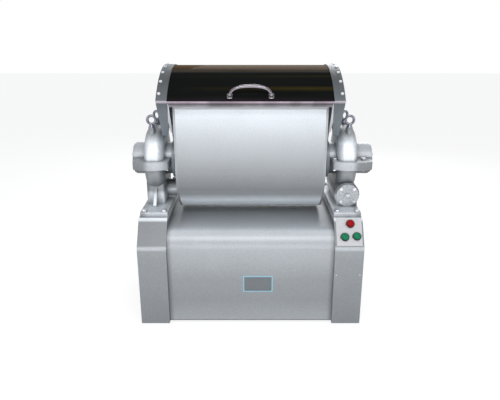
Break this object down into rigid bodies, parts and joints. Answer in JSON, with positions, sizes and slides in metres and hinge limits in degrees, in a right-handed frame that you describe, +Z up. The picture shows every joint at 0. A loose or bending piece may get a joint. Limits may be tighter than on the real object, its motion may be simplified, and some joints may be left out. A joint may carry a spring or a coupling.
{
  "type": "tilting dough mixer",
  "caption": "Horizontal tilting dough mixer: U bowl on trunnions between geared housings, curved lid, sigma-style blades, worm tilt and pushbutton panel.",
  "frame": {"origin": "on the floor under the middle of the bowl", "axes": "+X to the right seen from the front, the front faces -Y, +Z up"},
  "size_m": [1.196, 0.7, 1.2085],
  "materials": {
    "paint": "hammered silver-grey enamel",
    "stainless": "fine brushed stainless",
    "mirror_steel": "mirror-polished stainless",
    "chrome": "polished",
    "lid_paint": "satin grey",
    "bolt_steel": "zinc plated",
    "gear_steel": "machined and oiled",
    "bronze": "machined",
    "motor_paint": "semi-gloss",
    "belt_rubber": "matt",
    "seal_rubber": "matt",
    "panel": "satin",
    "black_plastic": "matt",
    "red_button": "glossy",
    "green_button": "glossy"
  },
  "bodies": {
    "frame": {"left_pedestal": "paint", "right_pedestal": "paint", "base_cover": "paint", "rear_panel": "paint", "base_frame": "motor_paint", "motor_bed": "motor_paint", "drive_gearbox": "motor_paint", "drive_motor": "motor_paint", "drive_belt": "belt_rubber", "left_lower_housing": "paint", "right_lower_housing": "paint", "left_housing_cap": "paint", "right_housing_cap": "paint", "bearing_covers": "paint", "bearing_cover_bolts": "bolt_steel", "worm_front_cover": "paint", "worm_rear_cover": "paint", "worm_cover_bolts": "bolt_steel", "tilt_motor": "motor_paint", "flange_bolts": "bolt_steel", "base_bolts": "bolt_steel", "left_eye_bolts": "bolt_steel", "right_eye_bolts": "bolt_steel", "trunnion_bushes": "bronze", "left_shaft_bearing": "bronze", "pinion_bush": "bronze", "control_plate": "panel", "button_bezels": "black_plastic", "switch_bodies": "black_plastic"},
    "bowl": {"bowl_trough": "stainless", "bowl_jacket": "paint", "bowl_left_end": "paint", "bowl_right_end": "paint", "bowl_rim": "chrome", "left_trunnion": "gear_steel", "right_trunnion": "gear_steel", "trunnion_bolts": "bolt_steel", "shaft_bushes": "bronze", "shaft_seals": "seal_rubber", "worm_wheel": "bronze"},
    "agitator": {"agitator_shaft": "stainless", "agitator_arms": "stainless", "agitator_blades": "stainless", "main_gear": "gear_steel"},
    "lid": {"lid_sheet": "mirror_steel", "left_lid_side": "lid_paint", "right_lid_side": "lid_paint", "lid_bands": "lid_paint", "lid_bolts": "bolt_steel", "lid_handle": "chrome"},
    "pinion_shaft": {"pinion_shaft": "gear_steel", "pinion": "gear_steel", "pinion_pulley": "gear_steel"},
    "motor_rotor": {"motor_shaft": "gear_steel", "motor_pulley": "gear_steel"},
    "worm_shaft": {"worm": "gear_steel"},
    "stop": {"stop_button": "red_button"},
    "mix": {"mix_button": "green_button"},
    "tilt": {"tilt_button": "green_button"}
  },
  "joints": [
    {"name": "bowl_tilt", "type": "hinge", "parent": "frame", "child": "bowl", "pos_m": [0, 0, 0.744], "axis": [1, 0, 0], "range_deg": [0, 88]},
    {"name": "lid_open", "type": "hinge", "parent": "frame", "child": "lid", "pos_m": [0, 0, 0.744], "axis": [-1, 0, 0], "range_deg": [0, 75]},
    {"name": "agitator_spin", "type": "hinge", "parent": "frame", "child": "agitator", "pos_m": [0, 0, 0.744], "axis": [1, 0, 0], "continuous": true},
    {"name": "pinion_spin", "type": "hinge", "parent": "frame", "child": "pinion_shaft", "pos_m": [-0.45, 0, 0.589], "axis": [1, 0, 0], "continuous": true},
    {"name": "motor_spin", "type": "hinge", "parent": "frame", "child": "motor_rotor", "pos_m": [-0.45, 0, 0.19], "axis": [1, 0, 0], "continuous": true},
    {"name": "worm_spin", "type": "hinge", "parent": "frame", "child": "worm_shaft", "pos_m": [0.472, 0, 0.594], "axis": [0, 1, 0], "range_deg": [0, 3520]},
    {"name": "stop_press", "type": "slide", "parent": "frame", "child": "stop", "axis": [0, 0.8183, -0.5748], "range_m": [0, 0.004], "stiffness_N_per_m": 400},
    {"name": "mix_press", "type": "slide", "parent": "frame", "child": "mix", "axis": [0, 0.8183, -0.5748], "range_m": [0, 0.004], "stiffness_N_per_m": 400},
    {"name": "tilt_press", "type": "slide", "parent": "frame", "child": "tilt", "axis": [0, 0.8183, -0.5748], "range_m": [0, 0.004], "stiffness_N_per_m": 400}
  ],
  "couplings": [
    {"joint": "pinion_spin", "follows": "agitator_spin", "ratio": -2.875},
    {"joint": "motor_spin", "follows": "agitator_spin", "ratio": -5.75},
    {"joint": "worm_spin", "follows": "bowl_tilt", "ratio": 40}
  ]
}
